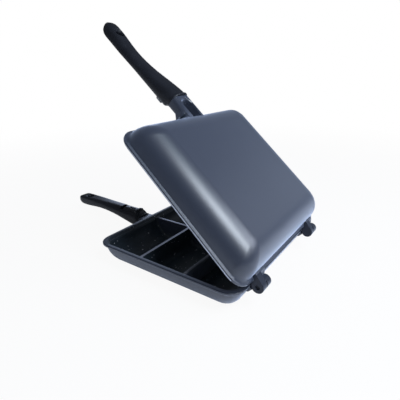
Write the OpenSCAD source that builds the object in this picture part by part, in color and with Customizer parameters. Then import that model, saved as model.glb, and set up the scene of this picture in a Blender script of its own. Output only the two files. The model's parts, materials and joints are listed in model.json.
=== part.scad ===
// Double sided flip pan: two cast halves on a rear hinge, each with a grip,
// and a slide latch that locks the grips together.
// X runs along the hinges, -Y points to the grips, +Z is up.
// The origin is the centre of the lower half's flat underside.

/* [Cast halves] */
// Length of each half from front rim to rear rim
pan_len = 200; // [184:2:230]
// Width of each half along the hinge line
pan_width = 224; // [208:2:250]
// Depth of each half from its rim to its flat face
half_depth = 32; // [30:1:38]
// Thickness of the cast walls and floors
wall = 3; // [2.4:0.2:3.6]
// Gap between the two rims when closed
rim_gap = 0.5; // [0.4:0.1:1]
// Height of the flange round each rim
rim_h = 3; // [2:0.25:4]
// How far the flange stands out past the wall
rim_lip = 3.4; // [2:0.2:4.4]
// Width of the flat meeting face on each rim
rim_land = 4.8; // [4:0.2:5.4]
// Radius of the rim's corners seen from above
rim_corner_r = 19; // [14:1:26]
// Lean of the side walls in degrees
wall_draft = 11; // [6:1:14]
// Radius between the side walls and the flat face
shoulder_r = 30; // [24:1:30]

/* [Cells of the lower half] */
// Distance between the two cross dividers
row_pitch = 63.4; // [56:0.2:70]
// Thickness of the dividers at their tops
divider_t = 3.4; // [2.4:0.2:5]
// How far the divider tops lie below the rim
divider_drop = 3.8; // [3:0.2:8]
// Draft of the divider faces in degrees
divider_draft = 3; // [1:0.5:5]
// Fillet between the dividers and the floor
cell_fillet = 7; // [4:0.5:9]
// Radius of the upright corners beside the dividers
cell_corner_r = 5; // [3:0.5:8]

/* [Necks] */
// Length of each neck from the rim to the grip's collar
neck_len = 20; // [18:1:30]
// Width of each neck
neck_width = 31; // [28:0.5:34]
// Distance from the parting plane to the neck's inner face
neck_in = 9; // [8.5:0.25:10]
// Distance from the parting plane to the neck's outer face
neck_out = 26; // [25:0.5:28]
// Width of the round-ended slot in the neck's outer face
slot_width = 18; // [14:1:20]
// Bevel round the slot's mouth
slot_bevel = 1.6; // [0.8:0.2:2.4]
// Floor left under the slot
slot_floor = 4; // [3:0.5:6]

/* [Grips] */
// Length of each grip from collar to end
grip_len = 153; // [141:2:181]
// Half width of the grip behind its collar
grip_half_w = 14.5; // [13.5:0.5:16]
// Half width of the grip at its waist
waist_half_w = 11; // [10.6:0.2:14]
// Half width of the grip at its swelled end
end_half_w = 11; // [10.6:0.2:15]
// Distance from the parting plane to the grip's back at the collar
grip_back = 28; // [27:0.5:30]
// The same distance at the waist
waist_back = 15; // [13.4:0.2:18]
// The same distance at the swelled end
end_back = 17.4; // [15:0.2:20]
// Radius of the grip's inner edges at the collar
crown_r = 14; // [12:0.5:15]
// Radius of the same edges at the swelled end
end_edge_r = 4.5; // [3.5:0.5:6]
// How far the collar's lip stands out round the grip
collar_lip = 1.2; // [0.6:0.2:2]
// Gap between the two grips when closed
grip_gap = 1.2; // [0.8:0.1:1.6]
// Diameter of the hanging holes
hang_d = 11; // [8:0.5:12]
// Diameter of the grip screws
grip_screw_d = 4; // [3:0.5:5]

/* [Hinges] */
// Distance from each side of the pan to the middle of its hinge
hinge_inset = 36; // [28:1:46]
// Distance from the rear rim to the hinge axis
hinge_back = 8.3; // [8:0.1:10]
// Length of each hinge along its axis
hinge_len = 19; // [17:0.5:24]
// Gap between the two leaves of a hinge
leaf_gap = 1.2; // [1.1:0.1:1.6]
// Radius of the leaves round the pin
leaf_r = 6.6; // [6:0.1:7]
// Diameter of the hinge pins
pin_d = 5; // [4:0.5:6]
// Running clearance between a pin and the lid's leaf, on the radius
pin_clearance = 0.05; // [0.02:0.01:0.1]
// Thickness of the washer between the leaves
washer_t = 0.6; // [0.4:0.05:0.6]
// Angle at which the lid stands open
lid_open = 42; // [0:1:180]

/* [Latch] */
// Length of the latch slider
slider_len = 31; // [30:0.5:34]
// Width of the latch slider
slider_width = 18; // [16:0.5:18.5]
// Thickness of the latch slider
slider_t = 8.2; // [8:0.1:8.6]
// Radius of the slider's crowned top
slider_crown_r = 16; // [14:1:20]
// Travel of the slider from unlocked to locked
slider_travel = 5; // [4:0.25:5.5]
// Height of the thumb ridge above the slider's top
ridge_h = 1.8; // [1.2:0.1:2.2]
// Clearance round the sliding piece
slide_clearance = 0.3; // [0.25:0.05:0.4]
// Reach of the catch hook past the parting plane
hook_reach = 4.1; // [3.9:0.1:5]
// Thickness of the catch hook
hook_t = 2.4; // [1.6:0.2:3]

/* [Hidden] */
$fn = 48;

cast_color = [0.29, 0.31, 0.38];
phenolic_color = [0.09, 0.10, 0.13];
steel_color = [0.62, 0.63, 0.65];

// Each half is drawn with Z as the distance from the parting plane, so that
// both share one set of modules, and is then put in its place.
parting = half_depth + rim_gap / 2;
rim = rim_gap / 2;
through = 1;          // how far a cut runs past the face it opens
corner_steps = 6;     // facets of a quarter turn on the castings
arc_steps = 7;        // facets of a shoulder's arc
rim_round = 0.6;      // rounding of the flange's edges
corner_shrink = 0.45; // how fast the plan corners tighten towards the flat face
least_corner_r = 2;
press_fit = 0.02;     // clearance of a tight fit

// Walls: the outer skin is at offset 0 and the inner skin at offset wall
shoulder_depth = half_depth - shoulder_r;
function tangent_depth(offset) = shoulder_depth + (shoulder_r - offset) * sin(wall_draft);
shoulder_inset = rim_lip + (tangent_depth(0) - rim_h) * tan(wall_draft)
  + shoulder_r * cos(wall_draft);
function wall_inset(depth, offset) =
  depth < tangent_depth(offset)
  ? shoulder_inset - (shoulder_r - offset) * cos(wall_draft)
    - (tangent_depth(offset) - depth) * tan(wall_draft)
  : shoulder_inset - sqrt(max(pow(shoulder_r - offset, 2) - pow(depth - shoulder_depth, 2), 0));
function shoulder_levels(offset) = [
  for (k = [0:arc_steps])
    shoulder_depth + (shoulder_r - offset) * sin(wall_draft + (90 - wall_draft) * k / arc_steps)
];
function corner_r(inset) = max(rim_corner_r - corner_shrink * inset, least_corner_r);

// Dividers
divider_y = row_pitch / 2;
floor_depth = half_depth - wall;
function floor_fillet(depth) =
  depth < floor_depth - cell_fillet ? 0
  : cell_fillet - sqrt(max(pow(cell_fillet, 2) - pow(depth - floor_depth + cell_fillet, 2), 0));
function divider_half(depth) =
  divider_t / 2 + (depth - divider_drop) * tan(divider_draft) + floor_fillet(depth);

// Necks and grips run forward from the rim; a place along them is its
// distance from the pan's middle
front = pan_len / 2;
collar = front + neck_len;
neck_inner_r = 5.5;
neck_outer_r = 7;
slot_end = collar - 5;
grip_end = collar + grip_len;
grip_in = grip_gap / 2;
collar_in = neck_in - 1.5;
ramp_start = collar + 2.8;
ramp_end = collar + 9;
waist_at = 0.62;      // share of the grip's length from collar to waist
swell_at = 0.84;
cap_len = 15;         // length of the rounded end
tang_half_w = 8;
tang_in = 14.2;
tang_out = 20.2;
tang_end = collar + 30;
seat_clearance = 0.15;
hang_at = grip_end - 26;
hang_chamfer = 1.5;
hang_wall = 11.5;     // length of the hanging hole's straight wall
screw_inner_at = collar + 10.5;
screw_outer_at = collar + 20;
screw_head_r = 0.9 * grip_screw_d;
screw_head_h = 2.2;
screw_len = 8;
screw_seat = 11.6;

// Latch
slider_front = collar + 8;
slider_rear = slider_front + slider_len;
slider_top = grip_in + 0.2;
slider_bottom = slider_top + slider_t;
gib_h = 2;
gib_w = 0.8;
ridge_r = 1.8;
ridge_base_r = 3.2;
ridge_at = slider_front + ridge_base_r + 0.2;
window_clearance = 0.4;
window_half_w = hook_t / 2 + window_clearance;
window_start = slider_front + 9.7;
window_end = slider_front + 21.6;
pocket_floor = slider_bottom + slide_clearance;
pocket_front = slider_front - slide_clearance;
pocket_rear = slider_rear + slider_travel + slide_clearance;
relief_in = ridge_h - slider_top + 0.8;
relief_end = ridge_at + ridge_base_r + slider_travel + 0.8;
hook_lip_t = 1.2;
hook_lip_start = window_start + 0.5;
hook_stem_start = window_start + slider_travel + 0.5;
hook_stem_end = window_end - 2;
hook_ramp_end = window_end - 0.5;
hook_plate_t = 1.6;
hook_plate_half_w = 4.5;
hook_plate_in = grip_in + 0.5;
hook_plate_start = relief_end + 0.4;
hook_plate_end = hook_plate_start + 18;
hook_screw_at = hook_plate_end - 4;
hook_screw_r = 1.5;
drag_at = slider_rear - 2.5;
spring_half_w = 2.5;
spring_t = 0.5;
spring_start = window_end - 2;
spring_end = drag_at + 5;
spring_bed = pocket_floor + 2.2;
spring_screw_at = spring_start + 2.2;
spring_screw_r = 0.9;

// Hinges: each half has one leaf per hinge, on its own side of the hinge's middle
axis_y = front + hinge_back;
hinge_x = pan_width / 2 - hinge_inset;
pin_r = pin_d / 2;
pin_recess = 1.5;
blind_floor = 2;
root_y = front - 3;
root_z = 5.5;
root_r = 3.4;
rim_clearance = 0.4;
bracket_y = front + 0.6;
bracket_z = 3.2;
bracket_r = 2.4;

// ---- shared shapes ----

// Points of a rounded rectangle, counter-clockwise, at one height.
// radii go round from the +X +Y corner.
function ring(x0, x1, y0, y1, radii, height, steps) = [
  for (corner = [0:3])
    let (r = radii[corner],
         cx = corner == 0 || corner == 3 ? x1 - r : x0 + r,
         cy = corner < 2 ? y1 - r : y0 + r)
    for (k = [0:steps])
      let (a = 90 * (corner + k / steps)) [cx + r * cos(a), cy + r * sin(a), height]
];

// Closed solid through a stack of rings that have the same number of points
module loft(rings) {
  n = len(rings[0]);
  last = len(rings) - 1;
  polyhedron(
    points = [for (r = rings) each r],
    faces = concat(
      [[for (k = [0:n - 1]) k]],
      [for (i = [0:last - 1]) for (k = [0:n - 1])
        let (a = i * n + k, b = i * n + (k + 1) % n)
          each [[a, a + n, b + n], [a, b + n, b]]],
      [[for (k = [n - 1:-1:0]) last * n + k]]
    ),
    convexity = 8
  );
}

// Outline round two circles of different size
module link(p1, r1, p2, r2) {
  d = p2 - p1;
  turn = atan2(d.y, d.x);
  lean = acos((r1 - r2) / norm(d));
  translate(p1) circle(r1);
  translate(p2) circle(r2);
  polygon([
    for (side = [1, -1]) let (a = turn + side * lean)
      each side > 0
        ? [p1 + r1 * [cos(a), sin(a)], p2 + r2 * [cos(a), sin(a)]]
        : [p2 + r2 * [cos(a), sin(a)], p1 + r1 * [cos(a), sin(a)]]
  ]);
}

// Rectangle with one radius on its lower corners and another on its upper ones
module rounded_plate(x0, x1, y0, y1, low_r, high_r) {
  for (side = [0, 1]) {
    translate([side ? x1 - low_r : x0 + low_r, y0 + low_r]) circle(low_r);
    translate([side ? x1 - high_r : x0 + high_r, y1 - high_r]) circle(high_r);
  }
  polygon([
    [x0 + low_r, y0], [x1 - low_r, y0], [x1, y0 + low_r], [x1, y1 - high_r],
    [x1 - high_r, y1], [x0 + high_r, y1], [x0, y1 - high_r], [x0, y0 + low_r]
  ]);
}

// Extrudes a YZ outline along X between two places
module across(x0, x1) {
  translate([x0, 0, 0]) rotate([90, 0, 90]) linear_extrude(x1 - x0) children();
}

// Extrudes an XZ outline forward, from one distance to another
module forward(from, to) {
  rotate([90, 0, 0]) translate([0, 0, from]) linear_extrude(to - from) children();
}

// Puts a solid made along +Z at a distance forward from the pan's middle
module at_forward(distance) {
  translate([0, -distance, 0]) children();
}

// Places a half below the parting plane
module lower() {
  translate([0, 0, parting]) mirror([0, 0, 1]) children();
}

// Places a half above the parting plane, swung open about the hinge axis
module upper() {
  translate([0, axis_y, parting]) rotate([-lid_open, 0, 0]) translate([0, -axis_y, 0]) children();
}

// ---- castings ----

function pan_ring(inset, depth) =
  let (r = corner_r(inset), x = pan_width / 2 - inset, y = front - inset)
    ring(-x, x, -y, y, [r, r, r, r], rim + depth, corner_steps);

// Outside of a half with its flange
module shell_outside() {
  loft(concat(
    [
      pan_ring(rim_round, 0),
      pan_ring(0, rim_round),
      pan_ring(0, rim_h - rim_round),
      pan_ring(rim_round, rim_h),
      pan_ring(wall_inset(rim_h + rim_round, 0), rim_h + rim_round)
    ],
    [for (d = shoulder_levels(0)) pan_ring(wall_inset(d, 0), d)]
  ));
}

// Hollow of the lid, plain inside
module lid_hollow() {
  loft(concat(
    [
      pan_ring(rim_land, -through),
      pan_ring(rim_land, 0),
      pan_ring(wall_inset(rim_h, wall), rim_h)
    ],
    [for (d = shoulder_levels(wall)) pan_ring(wall_inset(d, wall), d)]
  ));
}

// Shallow hollow over the divider tops
module rim_hollow() {
  loft([
    pan_ring(rim_land, -through),
    pan_ring(rim_land, 0),
    pan_ring(wall_inset(divider_drop, wall) - 0.3, divider_drop)
  ]);
}

// One cell: column 0 or 1 along X, row -1, 0 or 1 along Y
module cell(column, row) {
  side = column == 0 ? -1 : 1;
  loft([
    for (d = concat([divider_drop - 0.5], shoulder_levels(wall)))
      let (
        inset = wall_inset(d, wall),
        t = divider_half(d),
        outer_x = pan_width / 2 - inset,
        x0 = side < 0 ? -outer_x : t,
        x1 = side < 0 ? -t : outer_x,
        y0 = row < 0 ? -(front - inset) : row == 0 ? t - divider_y : divider_y + t,
        y1 = row > 0 ? front - inset : row == 0 ? divider_y - t : -divider_y - t,
        at_rim = corner_r(inset)
      )
      ring(x0, x1, y0, y1, [
        side > 0 && row > 0 ? at_rim : cell_corner_r,
        side < 0 && row > 0 ? at_rim : cell_corner_r,
        side < 0 && row < 0 ? at_rim : cell_corner_r,
        side > 0 && row < 0 ? at_rim : cell_corner_r
      ], rim + d, 4)
  ]);
}

function neck_ring(grow, inner, outer, distance) =
  ring(-neck_width / 2 - grow, neck_width / 2 + grow, inner, outer,
    [neck_outer_r, neck_outer_r, neck_inner_r, neck_inner_r], distance, corner_steps);

// Neck with its flared root and slot; the shell closes its inner end
module neck() {
  slot_top = neck_out + 0.2;
  slot_r = slot_width / 2;
  difference() {
    union() {
      forward(front - 18, collar)
        rounded_plate(-neck_width / 2, neck_width / 2, neck_in, neck_out, neck_inner_r, neck_outer_r);
      rotate([90, 0, 0]) loft([
        neck_ring(3.4, rim + rim_h - 0.5, neck_out - 2.5, front - 5),
        neck_ring(2.4, rim + rim_h + 1, neck_out - 2.4, front - 1.5),
        neck_ring(1, neck_in - 2.8, neck_out - 2.2, front + 2),
        neck_ring(0.1, neck_in - 0.2, neck_out - 2, front + 6)
      ]);
    }
    at_forward(slot_end - slot_r) {
      translate([0, 0, neck_in + slot_floor]) cylinder(r = slot_r, h = neck_out);
      translate([0, 0, slot_top - slot_bevel]) cylinder(r1 = slot_r, r2 = slot_r + slot_bevel, h = slot_bevel);
    }
    forward(0, slot_end - slot_r) polygon([
      [-slot_r, neck_in + slot_floor], [slot_r, neck_in + slot_floor],
      [slot_r, slot_top - slot_bevel], [slot_r + slot_bevel, slot_top],
      [-slot_r - slot_bevel, slot_top], [-slot_r, slot_top - slot_bevel]
    ]);
  }
  difference() {
    translate([-tang_half_w, -tang_end, tang_in])
      cube([2 * tang_half_w, tang_end - slot_end, tang_out - tang_in]);
    for (place = [screw_inner_at, screw_outer_at])
      at_forward(place) translate([0, 0, tang_in - through])
        cylinder(r = grip_screw_d / 2 + press_fit, h = tang_out - tang_in + 2 * through);
  }
}

// One half's leaf and bracket at the hinge on the given side.
// toward is the side of the hinge's middle on which this half's leaf lies.
// The bracket is cut clear of the other half's leaf, which is this leaf's mirror image.
module hinge_half(side, toward) {
  x = side * hinge_x;
  leaf = [x + toward * leaf_gap / 2, x + toward * hinge_len / 2];
  beside = [x + toward * leaf_gap / 2, x - toward * hinge_len];
  difference() {
    union() {
      across(min(leaf), max(leaf)) link([axis_y, 0], leaf_r, [root_y, root_z], root_r);
      across(x - hinge_len / 2, x + hinge_len / 2)
        link([bracket_y, bracket_z], bracket_r, [root_y, root_z], root_r);
    }
    translate([x - hinge_len, front + rim_clearance - pan_len, rim - pan_len])
      cube([2 * hinge_len, pan_len, pan_len]);
    across(min(beside), max(beside))
      link([axis_y, 0], leaf_r + rim_clearance, [root_y, -root_z], root_r + rim_clearance);
  }
}

// Hole for the pin: it opens on the hinge's outer side and is blind on its inner side
module pin_bore(side, toward, clearance) {
  outer_leaf = side * toward > 0;
  from = outer_leaf ? hinge_x : hinge_x - hinge_len / 2 + blind_floor;
  to = outer_leaf ? hinge_x + hinge_len / 2 + through : hinge_x;
  translate([side > 0 ? from : -to, axis_y, 0]) rotate([0, 90, 0])
    cylinder(r = pin_r + clearance, h = to - from);
}

module lower_pan() {
  color(cast_color) lower() difference() {
    union() {
      shell_outside();
      neck();
      for (side = [-1, 1]) hinge_half(side, -1);
    }
    rim_hollow();
    for (column = [0, 1], row = [-1:1]) cell(column, row);
    for (side = [-1, 1]) pin_bore(side, -1, press_fit);
  }
}

module upper_pan() {
  color(cast_color) upper() difference() {
    union() {
      shell_outside();
      neck();
      for (side = [-1, 1]) hinge_half(side, 1);
    }
    lid_hollow();
    for (side = [-1, 1]) pin_bore(side, 1, pin_clearance);
  }
}

// ---- grips ----

function ease(t) = t * t * (3 - 2 * t);
function mix(a, b, t) = a + (b - a) * ease(min(max(t, 0), 1));

// Sizes of the grip at a share u of its length
function grip_w(u) =
  u < waist_at
  ? mix(grip_half_w, waist_half_w, pow(u / waist_at, 0.8))
  : mix(waist_half_w, end_half_w, (u - waist_at) / (swell_at - waist_at));
function grip_b(u) =
  u < waist_at
  ? mix(grip_back, waist_back, pow(u / waist_at, 0.8))
  : mix(waist_back, end_back, (u - waist_at) / (swell_at - waist_at));
function grip_face(distance) =
  mix(collar_in, grip_in, (distance - ramp_start) / (ramp_end - ramp_start));
function grip_edge_r(u) = max(crown_r - 14 * u, end_edge_r);

// One section of the grip, grown by a lip or drawn in towards its middle
function grip_ring(distance, grow, shrink) =
  let (
    u = (distance - collar) / grip_len,
    low = grip_face(distance),
    mid = (low + grip_b(u)) / 2,
    w = grip_w(u) * shrink + grow,
    h = (grip_b(u) - low) / 2 * shrink + grow,
    high_r = min(0.74 * w, h),
    low_r = min(grip_edge_r(u) * shrink, 0.95 * w, 0.97 * h)
  )
  ring(-w, w, mid - h, mid + h, [high_r, high_r, low_r, low_r], distance, 5);

module grip_body() {
  cap_start = grip_end - cap_len;
  rotate([90, 0, 0]) loft(concat(
    [
      grip_ring(collar, 0.7 * collar_lip, 1),
      grip_ring(collar + 1.2, collar_lip, 1),
      grip_ring(collar + 2.6, 0.8 * collar_lip, 1),
      grip_ring(ramp_start, 0, 1)
    ],
    [for (k = [1:3]) grip_ring(ramp_start + (ramp_end - ramp_start) * k / 3, 0, 1)],
    [for (k = [1:12]) grip_ring(ramp_end + (cap_start - ramp_end) * k / 12, 0, 1)],
    [for (a = [20, 40, 57, 70, 80]) grip_ring(cap_start + cap_len * sin(a), 0, cos(a))]
  ));
}

// Socket for the neck's tang, the holes for the screws and the hanging hole
module grip_sockets(screw_mouth) {
  translate([-tang_half_w - seat_clearance, -tang_end - seat_clearance, tang_in - seat_clearance])
    cube([2 * (tang_half_w + seat_clearance), grip_len / 2, tang_out - tang_in + 2 * seat_clearance]);
  for (place = [screw_inner_at, screw_outer_at]) at_forward(place) {
    translate([0, 0, screw_mouth]) cylinder(r = screw_head_r + 0.4, h = screw_seat - screw_mouth);
    cylinder(r = grip_screw_d / 2 + seat_clearance, h = tang_in);
  }
  at_forward(hang_at) {
    translate([0, 0, -through]) cylinder(d = hang_d, h = end_back + 2 * through);
    translate([0, 0, grip_in - 0.1])
      cylinder(r1 = hang_d / 2 + hang_chamfer, r2 = hang_d / 2, h = hang_chamfer + 0.1);
    translate([0, 0, grip_in + hang_chamfer + hang_wall])
      cylinder(r1 = hang_d / 2, r2 = hang_d / 2 + 4, h = 6);
  }
}

module latch_pocket() {
  across(-slider_width / 2 - slide_clearance, slider_width / 2 + slide_clearance)
    translate([-pocket_rear, -through])
      square([pocket_rear - pocket_front, pocket_floor + through]);
  across(-slider_width / 2 - gib_w - slide_clearance, slider_width / 2 + gib_w + slide_clearance)
    translate([-pocket_rear, slider_bottom - gib_h - slide_clearance])
      square([pocket_rear - pocket_front, gib_h + 2 * slide_clearance]);
  translate([-spring_half_w - 0.5, -spring_end - 0.5, pocket_floor - 0.1])
    cube([2 * spring_half_w + 1, spring_end - spring_start + 1, spring_bed - pocket_floor + 0.1]);
  at_forward(spring_screw_at) cylinder(r = spring_screw_r + press_fit, h = spring_bed + 2.5);
}

module lower_grip() {
  color(phenolic_color) lower() difference() {
    grip_body();
    grip_sockets(pocket_floor - through);
    latch_pocket();
  }
}

// The lid's grip is cut back over the thumb ridge and bedded for the hook
module upper_grip() {
  color(phenolic_color) upper() difference() {
    grip_body();
    grip_sockets(0);
    translate([-pan_len / 2, -relief_end, -through])
      cube([pan_len, relief_end - collar - 3, relief_in + through]);
    translate([-hook_plate_half_w - 0.1, -hook_plate_end - 0.1, -through])
      cube([2 * hook_plate_half_w + 0.2, hook_plate_end - hook_plate_start + 0.2,
        hook_plate_in + hook_plate_t + through]);
    at_forward(hook_screw_at) cylinder(r = hook_screw_r + press_fit, h = 11);
  }
}

module grip_screw(place) {
  color(steel_color) at_forward(place) {
    translate([0, 0, screw_seat]) cylinder(d = grip_screw_d, h = screw_len);
    difference() {
      translate([0, 0, screw_seat - screw_head_h]) cylinder(r = screw_head_r, h = screw_head_h);
      translate([0, 0, screw_seat - screw_head_h - 0.1]) for (turn = [0, 90])
        rotate(turn) translate([-screw_head_r * 0.6, -0.4, 0])
          cube([screw_head_r * 1.2, 0.8, 1.3]);
    }
  }
}

// ---- hinge hardware ----

module hinge_pin(side) {
  pin_len = hinge_len - blind_floor - pin_recess - 0.2;
  color(steel_color) lower()
    translate([side * (hinge_x + (blind_floor - pin_recess) / 2), axis_y, 0]) rotate([0, 90, 0])
      cylinder(r = pin_r, h = pin_len, center = true);
}

module hinge_washer(side) {
  color(steel_color) lower() translate([side * hinge_x, axis_y, 0]) rotate([0, 90, 0]) difference() {
    cylinder(r = leaf_r - 1, h = washer_t, center = true);
    cylinder(r = pin_r + 2 * pin_clearance, h = 2 * washer_t, center = true);
  }
}

// ---- latch ----

// Keeps what lies below a crown of the given radius whose top is at height top
module crowned(r, top, from, to) {
  intersection() {
    children();
    forward(from, to) translate([0, top + r]) circle(r, $fn = 96);
  }
}

module latch_slider() {
  color(phenolic_color) lower() difference() {
    union() {
      crowned(slider_crown_r, slider_top, slider_front, slider_rear)
        translate([-slider_width / 2, -slider_rear, 0])
          cube([slider_width, slider_len, slider_bottom]);
      crowned(slider_crown_r + ridge_h, slider_top - ridge_h, slider_front, slider_rear)
        across(-slider_width / 2 + 0.4, slider_width / 2 - 0.4)
          link([-ridge_at, slider_top - ridge_h + ridge_r - 0.4], ridge_r,
            [-ridge_at, slider_top + ridge_base_r + 1.2], ridge_base_r);
      across(-slider_width / 2 - gib_w, slider_width / 2 + gib_w)
        translate([-slider_rear, slider_bottom - gib_h]) square([slider_len, gib_h]);
    }
    translate([-window_half_w, -window_end, -through])
      cube([2 * window_half_w, window_end - window_start, slider_bottom + 2 * through]);
    translate([-window_half_w, -window_end, hook_reach - hook_lip_t - slide_clearance])
      cube([2 * window_half_w, window_end - window_start + slider_travel, slider_bottom]);
  }
}

// Leaf spring whose crest drags on the slider, so that it stays where it is put
module latch_spring() {
  crest = slider_bottom + press_fit + spring_t / 2;
  bed = spring_bed - spring_t / 2;
  line = [
    [-spring_start - 0.2, bed], [-spring_screw_at - 2.4, bed],
    [-drag_at + 1.1, crest + 0.5], [-drag_at + 0.4, crest], [-drag_at - 0.4, crest],
    [-drag_at - 1.1, crest + 0.5], [-spring_end + 0.3, bed - 0.3]
  ];
  half = [0, spring_t / 2];
  color(steel_color) lower() difference() {
    across(-spring_half_w, spring_half_w)
      polygon(concat([for (p = line) p - half], [for (k = [len(line) - 1:-1:0]) line[k] + half]));
    at_forward(spring_screw_at) cylinder(r = spring_screw_r + 0.1, h = spring_bed + through);
  }
}

module latch_spring_screw() {
  color(steel_color) lower() at_forward(spring_screw_at) {
    translate([0, 0, spring_bed - spring_t - 0.7]) cylinder(r = spring_screw_r + 0.8, h = 0.7);
    translate([0, 0, spring_bed - spring_t - 0.1]) cylinder(r = spring_screw_r, h = spring_t + 2.4);
  }
}

// Hook on the lid's grip; its lip points back towards the pan
module latch_hook() {
  color(steel_color) upper() difference() {
    union() {
      translate([-hook_plate_half_w, -hook_plate_end, hook_plate_in])
        cube([2 * hook_plate_half_w, hook_plate_end - hook_plate_start, hook_plate_t]);
      across(-hook_t / 2, hook_t / 2) polygon([
        [-hook_ramp_end, hook_plate_in + 0.5], [-hook_stem_start, hook_plate_in + 0.5],
        [-hook_stem_start, hook_lip_t - hook_reach], [-hook_lip_start, hook_lip_t - hook_reach],
        [-hook_lip_start, hook_lip_t / 2 - hook_reach],
        [-hook_lip_start - hook_lip_t / 2, -hook_reach], [-hook_stem_end, -hook_reach],
        [-hook_ramp_end, -hook_reach / 2]
      ]);
    }
    at_forward(hook_screw_at) {
      cylinder(r = hook_screw_r + 0.1, h = 3 * hook_plate_t);
      translate([0, 0, hook_plate_in - 0.01])
        cylinder(r1 = 1.8 * hook_screw_r, r2 = hook_screw_r, h = 0.8 * hook_screw_r);
    }
  }
}

module latch_hook_screw() {
  color(steel_color) upper() at_forward(hook_screw_at) {
    translate([0, 0, hook_plate_in + 0.15])
      cylinder(r1 = 1.8 * hook_screw_r - 0.25, r2 = hook_screw_r - 0.25, h = 0.8 * hook_screw_r);
    translate([0, 0, hook_plate_in + 0.8 * hook_screw_r]) cylinder(r = hook_screw_r - 0.1, h = 8);
  }
}

lower_pan();
upper_pan();
lower_grip();
upper_grip();
lower() grip_screw(screw_inner_at);  // lower_grip_screw_inner
lower() grip_screw(screw_outer_at);  // lower_grip_screw_outer
upper() grip_screw(screw_inner_at);  // upper_grip_screw_inner
upper() grip_screw(screw_outer_at);  // upper_grip_screw_outer
hinge_pin(-1);  // hinge_pin_left
hinge_pin(1);  // hinge_pin_right
hinge_washer(-1);  // hinge_washer_left
hinge_washer(1);  // hinge_washer_right
latch_slider();
latch_spring();
latch_spring_screw();
latch_hook();
latch_hook_screw();
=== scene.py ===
import bpy
import json
import math
from mathutils import Matrix, Vector

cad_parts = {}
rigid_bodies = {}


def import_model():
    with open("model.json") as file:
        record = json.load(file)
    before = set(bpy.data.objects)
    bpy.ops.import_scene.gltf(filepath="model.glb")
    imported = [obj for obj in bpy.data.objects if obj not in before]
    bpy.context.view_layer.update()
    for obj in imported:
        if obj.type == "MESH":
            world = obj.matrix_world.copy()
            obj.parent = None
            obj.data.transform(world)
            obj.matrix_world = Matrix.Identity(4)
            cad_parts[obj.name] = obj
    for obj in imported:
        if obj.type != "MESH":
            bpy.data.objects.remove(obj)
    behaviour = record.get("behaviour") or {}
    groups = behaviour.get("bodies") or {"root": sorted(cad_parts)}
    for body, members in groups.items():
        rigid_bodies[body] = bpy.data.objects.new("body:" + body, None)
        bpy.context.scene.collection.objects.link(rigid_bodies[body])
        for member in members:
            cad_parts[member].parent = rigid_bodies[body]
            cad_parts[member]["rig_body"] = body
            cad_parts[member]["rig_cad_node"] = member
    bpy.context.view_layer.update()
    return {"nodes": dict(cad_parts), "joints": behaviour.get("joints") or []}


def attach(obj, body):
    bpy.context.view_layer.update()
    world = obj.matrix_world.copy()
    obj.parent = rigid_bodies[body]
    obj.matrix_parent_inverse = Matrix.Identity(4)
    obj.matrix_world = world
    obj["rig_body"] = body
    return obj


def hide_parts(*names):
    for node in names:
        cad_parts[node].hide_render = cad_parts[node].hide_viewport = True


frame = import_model()
nodes = frame["nodes"]
joints = {joint["name"]: joint for joint in frame["joints"]}

# The lid turns about the hinge line and stands open by lidTilt at rest.
# Of each half, up leads away from its rim and forward leads from its hinges to its grip.
hinge = Vector(joints["lid_hinge"]["pos_m"])
lidTilt = -math.radians(joints["lid_hinge"]["range_deg"][0])
lidUp = Vector((0, math.sin(lidTilt), math.cos(lidTilt)))
lidForward = Vector((0, -math.cos(lidTilt), math.sin(lidTilt)))
lowerUp = Vector((0, 0, -1))
lowerForward = Vector((0, -1, 0))

merging = {
    "distance": 0.00001,      # corners closer than this become one
    "flatAngle": 0.6,         # faces flatter to each other than this become one
    "normalWeight": 60,       # how far the large faces rule the shading
}


def pickOnly(piece):
    bpy.ops.object.select_all(action="DESELECT")
    piece.select_set(True)
    bpy.context.view_layer.objects.active = piece


def applyModifier(piece, kind, **settings):
    pickOnly(piece)
    modifier = piece.modifiers.new(kind.title(), kind)
    for key, value in settings.items():
        setattr(modifier, key, value)
    bpy.ops.object.modifier_apply(modifier=modifier.name)


def mergedCopy(nodeName, pieceName):
    piece = nodes[nodeName].copy()
    piece.data = nodes[nodeName].data.copy()
    piece.parent = None
    piece.name = pieceName
    piece.data.name = pieceName
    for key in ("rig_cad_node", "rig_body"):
        del piece[key]
    bpy.context.scene.collection.objects.link(piece)
    pickOnly(piece)
    bpy.ops.object.mode_set(mode="EDIT")
    bpy.ops.mesh.select_all(action="SELECT")
    bpy.ops.mesh.remove_doubles(threshold=merging["distance"])
    bpy.ops.mesh.dissolve_limited(angle_limit=math.radians(merging["flatAngle"]))
    bpy.ops.object.mode_set(mode="OBJECT")
    piece.data.materials.clear()
    return piece


def anywhere(point):
    return True


def nowhere(point):
    return False


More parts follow.
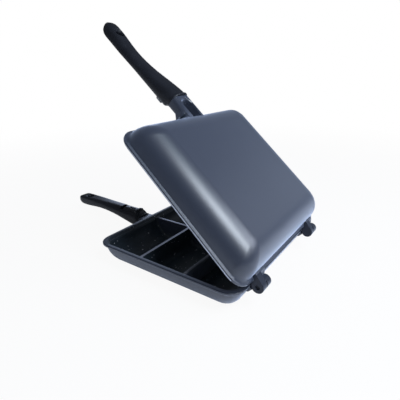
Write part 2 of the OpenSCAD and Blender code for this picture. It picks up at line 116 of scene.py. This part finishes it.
# Rounds the sharp edges whose middles are wanted, apart from those that are spared
def roundEdges(piece, look, wanted=anywhere, spared=nowhere):
    pickOnly(piece)
    bpy.ops.object.mode_set(mode="EDIT")
    bpy.ops.mesh.select_mode(type="EDGE")
    bpy.ops.mesh.select_all(action="DESELECT")
    bpy.ops.mesh.edges_select_sharp(sharpness=math.radians(look["sharpAngle"]))
    bpy.ops.object.mode_set(mode="OBJECT")
    corners = piece.data.vertices
    for edge in piece.data.edges:
        if edge.select:
            first, last = (corners[number].co for number in edge.vertices)
            middle = (first + last) / 2
            edge.select = wanted(middle) and not spared(middle)
    for face in piece.data.polygons:
        if face.select:       # a face that stays selected brings all its edges back
            face.select = not spared(face.center)
    bpy.ops.object.mode_set(mode="EDIT")
    bpy.ops.mesh.bevel(offset=look["edge"], segments=look["edgeSegments"], affect="EDGES",
                       clamp_overlap=False, miter_outer="ARC")
    bpy.ops.object.mode_set(mode="OBJECT")
    bpy.ops.object.shade_smooth_by_angle(angle=math.radians(look["creaseAngle"]))
    applyModifier(piece, "WEIGHTED_NORMAL", keep_sharp=True, weight=merging["normalWeight"])


def paintFaces(piece, coating, wanted):
    number = piece.data.materials.find(coating.name)
    for face in piece.data.polygons:
        if wanted(face):
            face.material_index = number


def newGroup(name, inputs, outputs):
    group = bpy.data.node_groups.new(name, "ShaderNodeTree")
    for label, kind, value in inputs:
        socket = group.interface.new_socket(label, in_out="INPUT", socket_type=kind)
        socket.default_value = value
    for label, kind in outputs:
        group.interface.new_socket(label, in_out="OUTPUT", socket_type=kind)
    return group, group.nodes.new("NodeGroupInput"), group.nodes.new("NodeGroupOutput")


def mathNode(tree, operation, first, second):
    made = tree.nodes.new("ShaderNodeMath")
    made.operation = operation
    for place, value in enumerate((first, second)):
        if isinstance(value, (int, float)):
            made.inputs[place].default_value = value
        else:
            tree.links.new(value, made.inputs[place])
    return made.outputs[0]


# Round specks in some of the cells of a Voronoi pattern
def speckGroup():
    group, start, end = newGroup(
        "Specks",
        [("Vector", "NodeSocketVector", (0, 0, 0)), ("Scale", "NodeSocketFloat", 500.0),
         ("Share", "NodeSocketFloat", 0.1), ("Size", "NodeSocketFloat", 0.3)],
        [("Mask", "NodeSocketFloat")])
    cells = group.nodes.new("ShaderNodeTexVoronoi")
    group.links.new(start.outputs["Vector"], cells.inputs["Vector"])
    group.links.new(start.outputs["Scale"], cells.inputs["Scale"])
    pick = group.nodes.new("ShaderNodeSeparateColor")
    group.links.new(cells.outputs["Color"], pick.inputs["Color"])
    chosen = mathNode(group, "LESS_THAN", pick.outputs["Red"], start.outputs["Share"])
    reach = mathNode(group, "MULTIPLY", pick.outputs["Green"], start.outputs["Size"])
    near = mathNode(group, "LESS_THAN", cells.outputs["Distance"], reach)
    group.links.new(mathNode(group, "MULTIPLY", chosen, near), end.inputs["Mask"])
    return group


# A fine grain for the bump, and a broad unevenness that swings about 1
def grainGroup():
    group, start, end = newGroup(
        "Grain",
        [("Vector", "NodeSocketVector", (0, 0, 0)), ("Fine scale", "NodeSocketFloat", 900.0),
         ("Broad scale", "NodeSocketFloat", 18.0), ("Spread", "NodeSocketFloat", 0.1)],
        [("Height", "NodeSocketFloat"), ("Shade", "NodeSocketFloat")])
    fine = group.nodes.new("ShaderNodeTexNoise")
    fine.inputs["Detail"].default_value = 3
    group.links.new(start.outputs["Vector"], fine.inputs["Vector"])
    group.links.new(start.outputs["Fine scale"], fine.inputs["Scale"])
    broad = group.nodes.new("ShaderNodeTexNoise")
    broad.inputs["Detail"].default_value = 4
    group.links.new(start.outputs["Vector"], broad.inputs["Vector"])
    group.links.new(start.outputs["Broad scale"], broad.inputs["Scale"])
    swing = mathNode(group, "SUBTRACT", broad.outputs["Fac"], 0.5)
    swing = mathNode(group, "MULTIPLY", swing, start.outputs["Spread"])
    group.links.new(fine.outputs["Fac"], end.inputs["Height"])
    group.links.new(mathNode(group, "ADD", swing, 1.0), end.inputs["Shade"])
    return group


specks = speckGroup()
grain = grainGroup()


def placeGroup(tree, group, vector, **values):
    made = tree.nodes.new("ShaderNodeGroup")
    made.node_tree = group
    tree.links.new(vector, made.inputs["Vector"])
    for label, value in values.items():
        made.inputs[label.replace("_", " ")].default_value = value
    return made


plainLook = {
    "metallic": 0.0,
    "specular": 0.5,
    "coat": 0.0,
    "coatRoughness": 0.1,
    "sheen": 0.0,
    "sheenRoughness": 0.5,
    "sheenTint": (1.0, 1.0, 1.0),
    "stretch": (1.0, 1.0, 1.0),      # scale of the grain along each axis
    "unevenGloss": False,            # the broad unevenness is in the gloss as well as the colour
}


def newMaterial(name, look):
    material = bpy.data.materials.new(name)
    material.use_nodes = True
    tree = material.node_tree
    shader = tree.nodes["Principled BSDF"]
    shader.inputs["Base Color"].default_value = (*look["color"], 1)
    shader.inputs["Roughness"].default_value = look["roughness"]
    shader.inputs["Metallic"].default_value = look["metallic"]
    shader.inputs["Specular IOR Level"].default_value = look["specular"]
    shader.inputs["Coat Weight"].default_value = look["coat"]
    shader.inputs["Coat Roughness"].default_value = look["coatRoughness"]
    shader.inputs["Sheen Weight"].default_value = look["sheen"]
    shader.inputs["Sheen Roughness"].default_value = look["sheenRoughness"]
    shader.inputs["Sheen Tint"].default_value = (*look["sheenTint"], 1)
    place = tree.nodes.new("ShaderNodeTexCoord").outputs["Object"]
    return material, tree, shader, place


def shadeColor(tree, shader, color, factor):
    mix = tree.nodes.new("ShaderNodeMix")
    mix.data_type = "RGBA"
    mix.blend_type = "MULTIPLY"
    mix.inputs["Factor"].default_value = 1
    mix.inputs["A"].default_value = (*color, 1)
    tree.links.new(factor, mix.inputs["B"])
    tree.links.new(mix.outputs["Result"], shader.inputs["Base Color"])
    return mix.outputs["Result"]


def mixOver(tree, shader, under, over, mask):
    mix = tree.nodes.new("ShaderNodeMix")
    mix.data_type = "RGBA"
    tree.links.new(mask, mix.inputs["Factor"])
    tree.links.new(under, mix.inputs["A"])
    mix.inputs["B"].default_value = (*over, 1)
    tree.links.new(mix.outputs["Result"], shader.inputs["Base Color"])


def addBump(tree, shader, height, strength, distance):
    bump = tree.nodes.new("ShaderNodeBump")
    bump.inputs["Strength"].default_value = strength
    bump.inputs["Distance"].default_value = distance
    tree.links.new(height, bump.inputs["Height"])
    tree.links.new(bump.outputs["Normal"], shader.inputs["Normal"])


# Every finish of the pan is a plain colour with grain; the inside gets specks over it
def grainedMaterial(name, look):
    material, tree, shader, place = newMaterial(name, look)
    stretch = tree.nodes.new("ShaderNodeMapping")
    stretch.inputs["Scale"].default_value = look["stretch"]
    tree.links.new(place, stretch.inputs["Vector"])
    made = placeGroup(tree, grain, stretch.outputs["Vector"], Fine_scale=look["fineScale"],
                      Broad_scale=look["broadScale"], Spread=look["spread"])
    under = shadeColor(tree, shader, look["color"], made.outputs["Shade"])
    if look["unevenGloss"]:
        rough = mathNode(tree, "MULTIPLY", made.outputs["Shade"], look["roughness"])
        tree.links.new(rough, shader.inputs["Roughness"])
    addBump(tree, shader, made.outputs["Height"], look["bump"], look["bumpDepth"])
    if "speckColor" in look:
        small = placeGroup(tree, specks, place, **look["smallSpecks"])
        large = placeGroup(tree, specks, place, **look["largeSpecks"])
        both = mathNode(tree, "MAXIMUM", small.outputs["Mask"], large.outputs["Mask"])
        mixOver(tree, shader, under, look["speckColor"], both)
    return material


outsideLook = dict(plainLook, **{
    "color": (0.018, 0.0245, 0.044),
    "roughness": 0.38,
    "specular": 0.55,
    "coat": 0.9,
    "coatRoughness": 0.38,
    "sheen": 0.75,
    "sheenRoughness": 0.42,
    "sheenTint": (0.66, 0.76, 1.0),
    "fineScale": 1400.0,
    "broadScale": 14.0,
    "spread": 0.16,
    "unevenGloss": True,
    "bump": 0.12,
    "bumpDepth": 0.0001,
})

# The hinges and the tops of the rims are duller than the walls; the hinges' darker colour is
# painted shade for the dark surroundings they mirror
dullCoatAndShadeLook = dict(outsideLook, **{
    "color": (0.010, 0.013, 0.024),
    "specular": 0.3,
    "coat": 0.15,
    "sheen": 0.4,
    "spread": 0.4,
})

insideLook = dict(plainLook, **{
    "color": (0.026, 0.037, 0.049),
    "roughness": 0.36,
    "specular": 0.4,
    "fineScale": 1100.0,
    "broadScale": 22.0,
    "spread": 0.5,
    "bump": 0.15,
    "bumpDepth": 0.0001,
    "speckColor": (0.62, 0.64, 0.68),
    "smallSpecks": {"Scale": 480.0, "Share": 0.09, "Size": 0.38},
    "largeSpecks": {"Scale": 260.0, "Share": 0.04, "Size": 0.27},
})

# The lid's worn rim edge is painted bright: wear and a painted highlight
rimWearAndHighlightLook = dict(plainLook, **{
    "color": (0.5, 0.54, 0.63),
    "roughness": 0.3,
    "metallic": 0.3,
    "fineScale": 700.0,
    "broadScale": 60.0,
    "spread": 0.9,
    "bump": 0.1,
    "bumpDepth": 0.0001,
})

# The divider tops are painted lighter and part metallic, a painted highlight along them
dividerHighlightLook = dict(rimWearAndHighlightLook, **{
    "color": (0.2, 0.205, 0.24),
    "roughness": 0.36,
    "metallic": 0.5,
})

gripLook = dict(plainLook, **{
    "color": (0.011, 0.0125, 0.018),
    "roughness": 0.34,
    "specular": 0.4,
    "stretch": (1.0, 0.12, 1.0),
    "fineScale": 600.0,
    "broadScale": 90.0,
    "spread": 0.8,
    "unevenGloss": True,
    "bump": 0.08,
    "bumpDepth": 0.0001,
})

brightSteelLook = dict(plainLook, **{
    "color": (0.55, 0.56, 0.58),
    "roughness": 0.32,
    "metallic": 1.0,
    "stretch": (0.06, 1.0, 1.0),
    "fineScale": 2500.0,
    "broadScale": 300.0,
    "spread": 0.3,
    "bump": 0.15,
    "bumpDepth": 0.00005,
})

darkSteelLook = dict(brightSteelLook, **{
    "color": (0.035, 0.038, 0.045),
    "roughness": 0.5,
})

outside = grainedMaterial("outsideCoating", outsideLook)
dullCoatAndShade = grainedMaterial("dullCoatAndShade", dullCoatAndShadeLook)
inside = grainedMaterial("insideCoating", insideLook)
rimWearAndHighlight = grainedMaterial("rimWearAndHighlight", rimWearAndHighlightLook)
dividerHighlight = grainedMaterial("dividerHighlight", dividerHighlightLook)
gripBlack = grainedMaterial("phenolic", gripLook)
brightSteel = grainedMaterial("brightSteel", brightSteelLook)
darkSteel = grainedMaterial("darkSteel", darkSteelLook)
print("materials made")


casting = {
    "edge": 0.0003,           # rounding of the cast edges
    "edgeSegments": 2,
    "sharpAngle": 32,         # edges sharper than this are rounded
    "creaseAngle": 50,        # edges sharper than this are creased, and 45 degree chamfers aren't
    "halfWidth": 0.112,       # from the middle of a half to its outline
    "halfLength": 0.1,
    "hollowDepth": 0.0295,    # faces deeper than this are on the outside
    "hollowTo": 0.97,         # and so are those past this share of the half's size
    "facesRim": 0.2,          # a hollow's floor turns to the rim at least this much
    "facesMiddle": 0.25,      # and its walls to the middle
    "lipDepth": 0.03,         # edges deeper than this are rounded
    "lipFrom": 0.965,         # and so are those past this share of the half's size
    "rimFrom": 0.988,         # the lid's rim starts at this share of its size
    "rimHeight": 0.0036,      # it is duller than the wall down to this depth
    "wornHighlightEdge": 0.0022,       # and painted bright down to this one, wear and a painted highlight
    "landDepth": 0.0012,      # the top of the lower rim is dull down to this depth
    "landTilt": 0.3,          # where it turns up at least this much
    "dividerTop": 0.0281,     # height of the divider tops
    "dividerBand": 0.0004,    # and how far from it a face still counts
    "dividerTilt": 0.9,
    "hingeFrom": 0.1006,      # the hinges stand out past this distance from the middle
    "boreFloor": 0.069,       # inside this distance from the middle the pins' bores end blind
    "boreReach": 0.003,       # their bottoms stay square this far from the pins' line
}


def depthOf(point, up):
    return (point - hinge).dot(up)


def forwardWay(up):
    return lidForward if up is lidUp else lowerForward


# How far a point is in front of the half's middle, which is hinge.y in front of the hinges
def forwardOf(point, up):
    return (point - hinge).dot(forwardWay(up)) - hinge.y


# 0 in the half's middle and 1 at its outline
def shareOf(point, up):
    return max(abs(point.x) / casting["halfWidth"],
               abs(forwardOf(point, up)) / casting["halfLength"])


def isHollow(face, up):
    center = face.center
    if depthOf(center, up) > casting["hollowDepth"] or shareOf(center, up) > casting["hollowTo"]:
        return False
    inwards = Vector((-center.x, 0, 0)) - forwardWay(up) * forwardOf(center, up)
    return (face.normal.dot(up) < -casting["facesRim"]
            or face.normal.dot(inwards.normalized()) > casting["facesMiddle"])


def onRim(face, up, toDepth):
    if abs(forwardOf(face.center, up)) > casting["hingeFrom"]:
        return False
    return (0 < depthOf(face.center, up) < toDepth
            and shareOf(face.center, up) > casting["rimFrom"])


def onHinge(face, up):
    return forwardOf(face.center, up) < -casting["hingeFrom"]


def onLand(face, up):
    return (face.normal.dot(up) < -casting["landTilt"]
            and depthOf(face.center, up) < casting["landDepth"])


def onDivider(face):
    return (face.normal.z > casting["dividerTilt"]
            and abs(face.center.z - casting["dividerTop"]) < casting["dividerBand"])


def outsideHollow(point, up):
    return depthOf(point, up) > casting["lipDepth"] or shareOf(point, up) > casting["lipFrom"]


def inBlindBore(point):
    reach = math.hypot(point.y - hinge.y, point.z - hinge.z)
    return abs(point.x) < casting["boreFloor"] and reach < casting["boreReach"]


def castHalf(nodeName, pieceName, up, body):
    piece = mergedCopy(nodeName, pieceName)
    roundEdges(piece, casting, lambda point: outsideHollow(point, up), inBlindBore)
    for coating in (outside, inside, rimWearAndHighlight, dividerHighlight, dullCoatAndShade):
        piece.data.materials.append(coating)
    paintFaces(piece, inside, lambda face: isHollow(face, up))
    if up is lidUp:
        paintFaces(piece, dullCoatAndShade, lambda face: onRim(face, up, casting["rimHeight"]))
        # a painted highlight along the lid's worn rim edge
        paintFaces(piece, rimWearAndHighlight, lambda face: onRim(face, up, casting["wornHighlightEdge"]))
    else:
        paintFaces(piece, dullCoatAndShade, lambda face: onLand(face, up))
    # the hinges are painted darker, as painted shade
    paintFaces(piece, dullCoatAndShade, lambda face: onHinge(face, up))
    if up is lowerUp:
        # the divider tops get a painted highlight
        paintFaces(piece, dividerHighlight, onDivider)
    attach(piece, body)
    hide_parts(nodeName)


castHalf("lower_pan", "lowerCasting", lowerUp, "base")
castHalf("upper_pan", "upperCasting", lidUp, "lid")
print("castings made")


grip = {
    "edge": 0.0005,
    "edgeSegments": 3,
    "sharpAngle": 34,
    "creaseAngle": 50,
}

hardware = {
    "edge": 0.0002,
    "edgeSegments": 2,
    "sharpAngle": 34,
    "creaseAngle": 50,
}


def roundedPiece(nodeName, pieceName, body, look, material):
    piece = mergedCopy(nodeName, pieceName)
    roundEdges(piece, look)
    piece.data.materials.append(material)
    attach(piece, body)
    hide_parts(nodeName)


roundedPiece("lower_grip", "lowerGrip", "base", grip, gripBlack)
roundedPiece("upper_grip", "upperGrip", "lid", grip, gripBlack)
roundedPiece("latch_slider", "latchSlider", "slider", grip, gripBlack)
roundedPiece("latch_hook", "latchHook", "lid", hardware, brightSteel)
print("grips made")


# The pins, washers, spring and screws keep their own solids
for nodeName, node in nodes.items():
    if node.hide_render:
        continue
    node.data.materials.clear()
    node.data.materials.append(darkSteel if nodeName.startswith("hinge") else brightSteel)


studio = {
    "floorSize": 60.0,
    "whiteNear": 0.93,        # share of plain white in the floor under the pan
    "whiteFrom": 0.3,         # the floor turns fully white between these distances
    "whiteTo": 1.4,
    "glossNear": 0.12,        # share of plain white as the coating mirrors it, near and far
    "glossFar": 0.05,
    "glossFrom": 0.3,
    "glossTo": 0.8,
    "skyColor": (0.85, 0.91, 1.0),
    "skyOnSurfaces": 0.3,
    "skyInGloss": 0.1,
    "aim": (0, 0.02, 0.09),   # the lamps point here
}

floorLook = dict(plainLook, color=(0.66, 0.665, 0.7), roughness=0.9, specular=0.1)

lamps = {
    "keyLamp": {"toward": (0.26, 0.66, 0.70), "distance": 0.8, "size": 0.34, "power": 5.5,
                "color": (0.82, 0.9, 1.0)},
    "backLamp": {"toward": (-0.32, 0.77, 0.56), "distance": 1.1, "size": 0.45, "power": 4.4,
                 "color": (0.78, 0.85, 1.0)},
    "topLamp": {"toward": (0.0, 0.5, 0.87), "distance": 1.1, "size": 0.45, "power": 1.2,
                "color": (0.7, 0.9, 1.0)},
    "sideLamp": {"toward": (-0.85, 0.4, 0.38), "distance": 1.1, "size": 0.45, "power": 0.28,
                 "color": (0.75, 0.85, 1.0)},
    "frontLamp": {"toward": (-0.7, -0.7, 0.17), "distance": 1.1, "size": 0.45, "power": 1.3,
                  "color": (0.62, 0.74, 1.0)},
}

camera = {
    "place": (0.3523, 0.2157, 0.2298),
    "azimuth": 127.84,
    "elevation": 21.48,
    "roll": -1.25,
    "lens": 30.19,
    "shift": (0.0618, 0.0143),
}


def fadeByDistance(tree, distance, start, end, near, far):
    fade = tree.nodes.new("ShaderNodeMapRange")
    fade.interpolation_type = "SMOOTHSTEP"
    tree.links.new(distance, fade.inputs["Value"])
    fade.inputs["From Min"].default_value = start
    fade.inputs["From Max"].default_value = end
    fade.inputs["To Min"].default_value = near
    fade.inputs["To Max"].default_value = far
    return fade.outputs["Result"]


def mixShaders(tree, factor, first, second):
    mix = tree.nodes.new("ShaderNodeMixShader")
    tree.links.new(factor, mix.inputs["Fac"])
    tree.links.new(first, mix.inputs[1])
    tree.links.new(second, mix.inputs[2])
    return mix.outputs["Shader"]


def makeFloor():
    bpy.ops.mesh.primitive_plane_add(size=studio["floorSize"])
    floor = bpy.context.object
    floor.name = "floor"
    material, tree, shader, place = newMaterial("floorPaper", floorLook)
    glow = tree.nodes.new("ShaderNodeEmission")
    glow.inputs["Color"].default_value = (1, 1, 1, 1)
    reach = tree.nodes.new("ShaderNodeVectorMath")
    reach.operation = "LENGTH"
    tree.links.new(place, reach.inputs[0])
    distance = reach.outputs["Value"]
    rays = tree.nodes.new("ShaderNodeLightPath")
    seen = fadeByDistance(tree, distance, studio["whiteFrom"], studio["whiteTo"],
                          studio["whiteNear"], 1)
    seen = mathNode(tree, "MULTIPLY", rays.outputs["Is Camera Ray"], seen)
    gloss = fadeByDistance(tree, distance, studio["glossFrom"], studio["glossTo"],
                           studio["glossNear"], studio["glossFar"])
    sharp = mathNode(tree, "MAXIMUM", rays.outputs["Is Glossy Ray"],
                     rays.outputs["Is Transmission Ray"])
    gloss = mathNode(tree, "MULTIPLY", sharp, gloss)
    white = mathNode(tree, "MAXIMUM", seen, gloss)
    shown = mixShaders(tree, white, shader.outputs["BSDF"], glow.outputs["Emission"])
    tree.links.new(shown, tree.nodes["Material Output"].inputs["Surface"])
    floor.data.materials.append(material)


def skyShader(tree, color, strength):
    sky = tree.nodes.new("ShaderNodeBackground")
    sky.inputs["Color"].default_value = (*color, 1)
    sky.inputs["Strength"].default_value = strength
    return sky.outputs["Background"]


def makeWorld():
    world = bpy.data.worlds.new("studio")
    world.use_nodes = True
    tree = world.node_tree
    rays = tree.nodes.new("ShaderNodeLightPath")
    plain = skyShader(tree, studio["skyColor"], studio["skyOnSurfaces"])
    gloss = skyShader(tree, studio["skyColor"], studio["skyInGloss"])
    white = skyShader(tree, (1, 1, 1), 1)
    lit = mixShaders(tree, rays.outputs["Is Glossy Ray"], plain, gloss)
    shown = mixShaders(tree, rays.outputs["Is Camera Ray"], lit, white)
    tree.links.new(shown, tree.nodes["World Output"].inputs["Surface"])
    bpy.context.scene.world = world


def areaLamp(name, look):
    way = Vector(look["toward"]).normalized()
    place = Vector(studio["aim"]) + way * look["distance"]
    bpy.ops.object.light_add(type="AREA", location=place)
    lamp = bpy.context.object
    lamp.name = name
    lamp.data.size = look["size"]
    lamp.data.energy = look["power"]
    lamp.data.color = look["color"]
    lamp.rotation_mode = "QUATERNION"
    lamp.rotation_quaternion = (-way).to_track_quat("-Z", "Y")


def makeCamera():
    turn, tilt, roll = (math.radians(camera[key]) for key in ("azimuth", "elevation", "roll"))
    back = Vector((math.sin(turn) * math.cos(tilt), -math.cos(turn) * math.cos(tilt),
                   math.sin(tilt)))
    level = Vector((math.cos(turn), math.sin(turn), 0))
    upright = back.cross(level)
    right = level * math.cos(roll) + upright * math.sin(roll)
    up = upright * math.cos(roll) - level * math.sin(roll)
    view = Matrix((right, up, back)).transposed().to_4x4()
    view.translation = camera["place"]
    bpy.ops.object.camera_add()
    made = bpy.context.object
    made.matrix_world = view
    made.data.lens = camera["lens"]
    made.data.shift_x, made.data.shift_y = camera["shift"]
    bpy.context.scene.camera = made


makeFloor()
makeWorld()
for name, look in lamps.items():
    areaLamp(name, look)
makeCamera()
bpy.context.scene.view_settings.view_transform = "Standard"
print("studio made")
